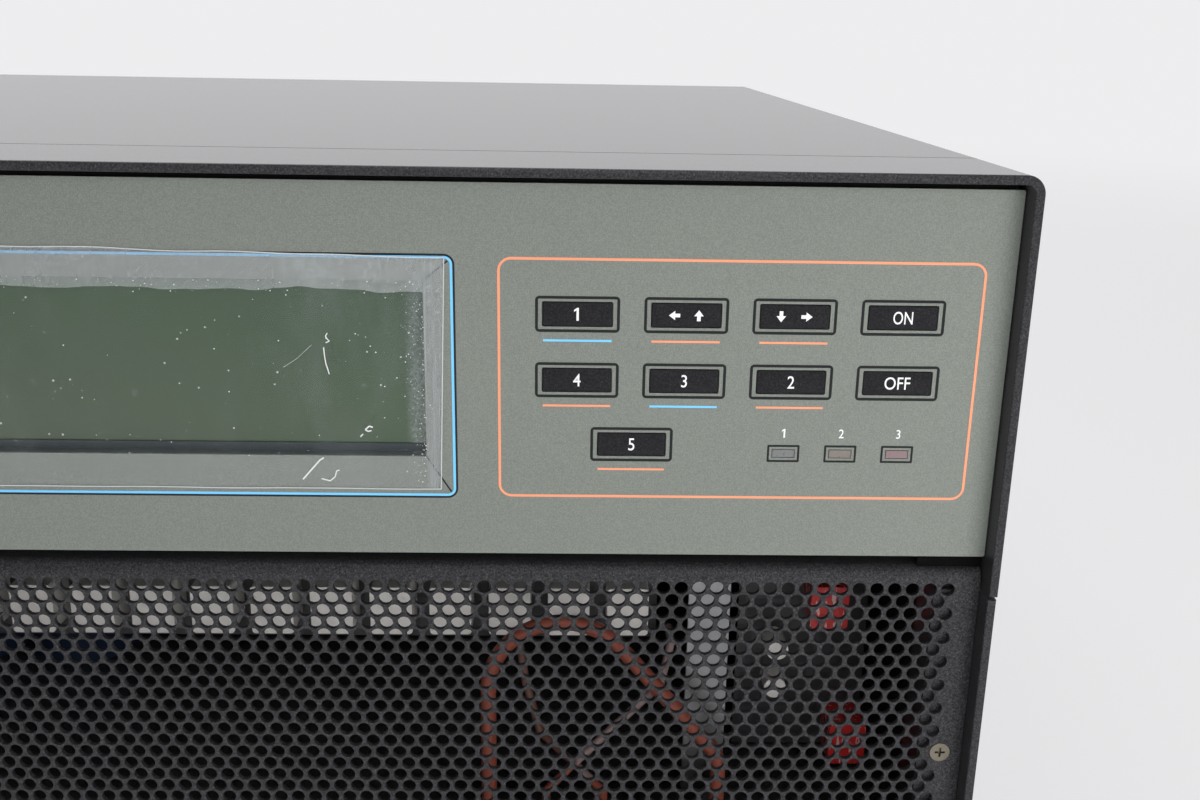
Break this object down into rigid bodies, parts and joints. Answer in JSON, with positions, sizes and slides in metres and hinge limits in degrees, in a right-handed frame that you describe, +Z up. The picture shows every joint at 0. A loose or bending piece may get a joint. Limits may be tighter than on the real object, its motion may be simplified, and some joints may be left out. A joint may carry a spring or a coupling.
{
  "type": "hf linear amplifier",
  "caption": "Desktop solid-state radio amplifier: two-shell case, recessed panel with display and press keys, perforated front grille, rear sockets and fans.",
  "frame": {"origin": "middle of the whole body's box, on the surface that the feet stand on", "axes": "+X to the right seen from the front, +Y from the front panel to the rear, +Z up"},
  "size_m": [0.4, 0.452, 0.199],
  "materials": {
    "case_paint": "fine textured charcoal powder coat",
    "cover_paint": "fine textured charcoal powder coat, matt",
    "panel_print": "screen-printed polycarbonate foil with fine metallic speckle",
    "clear_film": "thin clear peel-off film with bubbles and dust",
    "display_glass": "dark green reflective display",
    "display_metal": "black metal frame",
    "key_black": "satin black foil key",
    "led_lens": "tinted diffuse lens, unlit",
    "zinc": "yellowish zinc plate",
    "bare_aluminium": "mill finish",
    "black_anodised": "black anodised",
    "rubber": "matt black",
    "nickel": "nickel plate, satin",
    "gilt": "thin gilt plate",
    "black_plastic": "glass-filled moulding",
    "red_plastic": "red moulding",
    "bright_steel": "bright plate",
    "winding": "enamelled copper winding under varnish",
    "board": "green circuit board",
    "board_black": "black circuit board",
    "brown_insulation": "red-brown insulation",
    "red_case": "red capacitor case",
    "sleeve": "dark sleeve"
  },
  "bodies": {
    "chassis": {"front_frame_upper": "case_paint", "front_frame_lower": "case_paint", "top_cover": "cover_paint", "bottom_cover": "cover_paint", "side_frame_left": "case_paint", "side_frame_right": "case_paint", "mid_deck": "black_anodised", "front_plate": "bare_aluminium", "panel_foil": "panel_print", "display_film": "clear_film", "lcd_glass": "display_glass", "lcd_module": "display_metal", "key_boards": "board", "status_leds": "led_lens", "front_grille": "case_paint", "case_screws": "zinc", "feet": "rubber", "rear_panel": "case_paint", "antenna_sockets": "nickel", "signal_sockets": "gilt", "control_sockets": "nickel", "cable_gland": "black_plastic", "power_switch": "black_plastic", "ground_post": "gilt", "fan_frame_left": "black_plastic", "fan_frame_right": "black_plastic", "fan_guards": "bright_steel", "power_transformer": "winding", "transformer_clamp": "zinc", "heat_sink": "black_anodised", "power_board": "board", "relay_board": "board_black", "relays": "bright_steel", "stay_bracket": "bare_aluminium", "arched_lead": "brown_insulation", "terminal_block": "black_plastic", "film_capacitors": "red_case", "capacitor_bank": "sleeve"},
    "key_right_1_cap": {"key_right_1": "key_black"},
    "key_right_2_cap": {"key_right_2": "key_black"},
    "key_right_3_cap": {"key_right_3": "key_black"},
    "key_right_4_cap": {"key_right_4": "key_black"},
    "key_right_5_cap": {"key_right_5": "key_black"},
    "key_right_6_cap": {"key_right_6": "key_black"},
    "key_right_7_cap": {"key_right_7": "key_black"},
    "key_right_8_cap": {"key_right_8": "key_black"},
    "key_right_9_cap": {"key_right_9": "key_black"},
    "key_left_1_cap": {"key_left_1": "key_black"},
    "key_left_2_cap": {"key_left_2": "key_black"},
    "key_left_3_cap": {"key_left_3": "key_black"},
    "key_left_4_cap": {"key_left_4": "key_black"},
    "key_left_5_cap": {"key_left_5": "key_black"},
    "key_left_6_cap": {"key_left_6": "key_black"},
    "key_left_7_cap": {"key_left_7": "key_black"},
    "key_left_8_cap": {"key_left_8": "key_black"},
    "key_left_9_cap": {"key_left_9": "key_black"},
    "rotor_left": {"fan_rotor_left": "black_plastic"},
    "rotor_right": {"fan_rotor_right": "black_plastic"},
    "rocker": {"power_rocker": "red_plastic"}
  },
  "joints": [
    {"name": "key_right_1_press", "type": "slide", "parent": "chassis", "child": "key_right_1_cap", "axis": [0, 1, 0], "range_m": [0, 0.0005], "stiffness_N_per_m": 4000},
    {"name": "key_right_2_press", "type": "slide", "parent": "chassis", "child": "key_right_2_cap", "axis": [0, 1, 0], "range_m": [0, 0.0005], "stiffness_N_per_m": 4000},
    {"name": "key_right_3_press", "type": "slide", "parent": "chassis", "child": "key_right_3_cap", "axis": [0, 1, 0], "range_m": [0, 0.0005], "stiffness_N_per_m": 4000},
    {"name": "key_right_4_press", "type": "slide", "parent": "chassis", "child": "key_right_4_cap", "axis": [0, 1, 0], "range_m": [0, 0.0005], "stiffness_N_per_m": 4000},
    {"name": "key_right_5_press", "type": "slide", "parent": "chassis", "child": "key_right_5_cap", "axis": [0, 1, 0], "range_m": [0, 0.0005], "stiffness_N_per_m": 4000},
    {"name": "key_right_6_press", "type": "slide", "parent": "chassis", "child": "key_right_6_cap", "axis": [0, 1, 0], "range_m": [0, 0.0005], "stiffness_N_per_m": 4000},
    {"name": "key_right_7_press", "type": "slide", "parent": "chassis", "child": "key_right_7_cap", "axis": [0, 1, 0], "range_m": [0, 0.0005], "stiffness_N_per_m": 4000},
    {"name": "key_right_8_press", "type": "slide", "parent": "chassis", "child": "key_right_8_cap", "axis": [0, 1, 0], "range_m": [0, 0.0005], "stiffness_N_per_m": 4000},
    {"name": "key_right_9_press", "type": "slide", "parent": "chassis", "child": "key_right_9_cap", "axis": [0, 1, 0], "range_m": [0, 0.0005], "stiffness_N_per_m": 4000},
    {"name": "key_left_1_press", "type": "slide", "parent": "chassis", "child": "key_left_1_cap", "axis": [0, 1, 0], "range_m": [0, 0.0005], "stiffness_N_per_m": 4000},
    {"name": "key_left_2_press", "type": "slide", "parent": "chassis", "child": "key_left_2_cap", "axis": [0, 1, 0], "range_m": [0, 0.0005], "stiffness_N_per_m": 4000},
    {"name": "key_left_3_press", "type": "slide", "parent": "chassis", "child": "key_left_3_cap", "axis": [0, 1, 0], "range_m": [0, 0.0005], "stiffness_N_per_m": 4000},
    {"name": "key_left_4_press", "type": "slide", "parent": "chassis", "child": "key_left_4_cap", "axis": [0, 1, 0], "range_m": [0, 0.0005], "stiffness_N_per_m": 4000},
    {"name": "key_left_5_press", "type": "slide", "parent": "chassis", "child": "key_left_5_cap", "axis": [0, 1, 0], "range_m": [0, 0.0005], "stiffness_N_per_m": 4000},
    {"name": "key_left_6_press", "type": "slide", "parent": "chassis", "child": "key_left_6_cap", "axis": [0, 1, 0], "range_m": [0, 0.0005], "stiffness_N_per_m": 4000},
    {"name": "key_left_7_press", "type": "slide", "parent": "chassis", "child": "key_left_7_cap", "axis": [0, 1, 0], "range_m": [0, 0.0005], "stiffness_N_per_m": 4000},
    {"name": "key_left_8_press", "type": "slide", "parent": "chassis", "child": "key_left_8_cap", "axis": [0, 1, 0], "range_m": [0, 0.0005], "stiffness_N_per_m": 4000},
    {"name": "key_left_9_press", "type": "slide", "parent": "chassis", "child": "key_left_9_cap", "axis": [0, 1, 0], "range_m": [0, 0.0005], "stiffness_N_per_m": 4000},
    {"name": "fan_left_spin", "type": "hinge", "parent": "chassis", "child": "rotor_left", "pos_m": [-0.12, 0.1835, 0.0635], "axis": [0, 1, 0], "continuous": true},
    {"name": "fan_right_spin", "type": "hinge", "parent": "chassis", "child": "rotor_right", "pos_m": [0.095, 0.1835, 0.0635], "axis": [0, 1, 0], "continuous": true},
    {"name": "rocker_tilt", "type": "hinge", "parent": "chassis", "child": "rocker", "pos_m": [0.012, 0.193, 0.044], "axis": [1, 0, 0], "range_deg": [0, 16]}
  ]
}
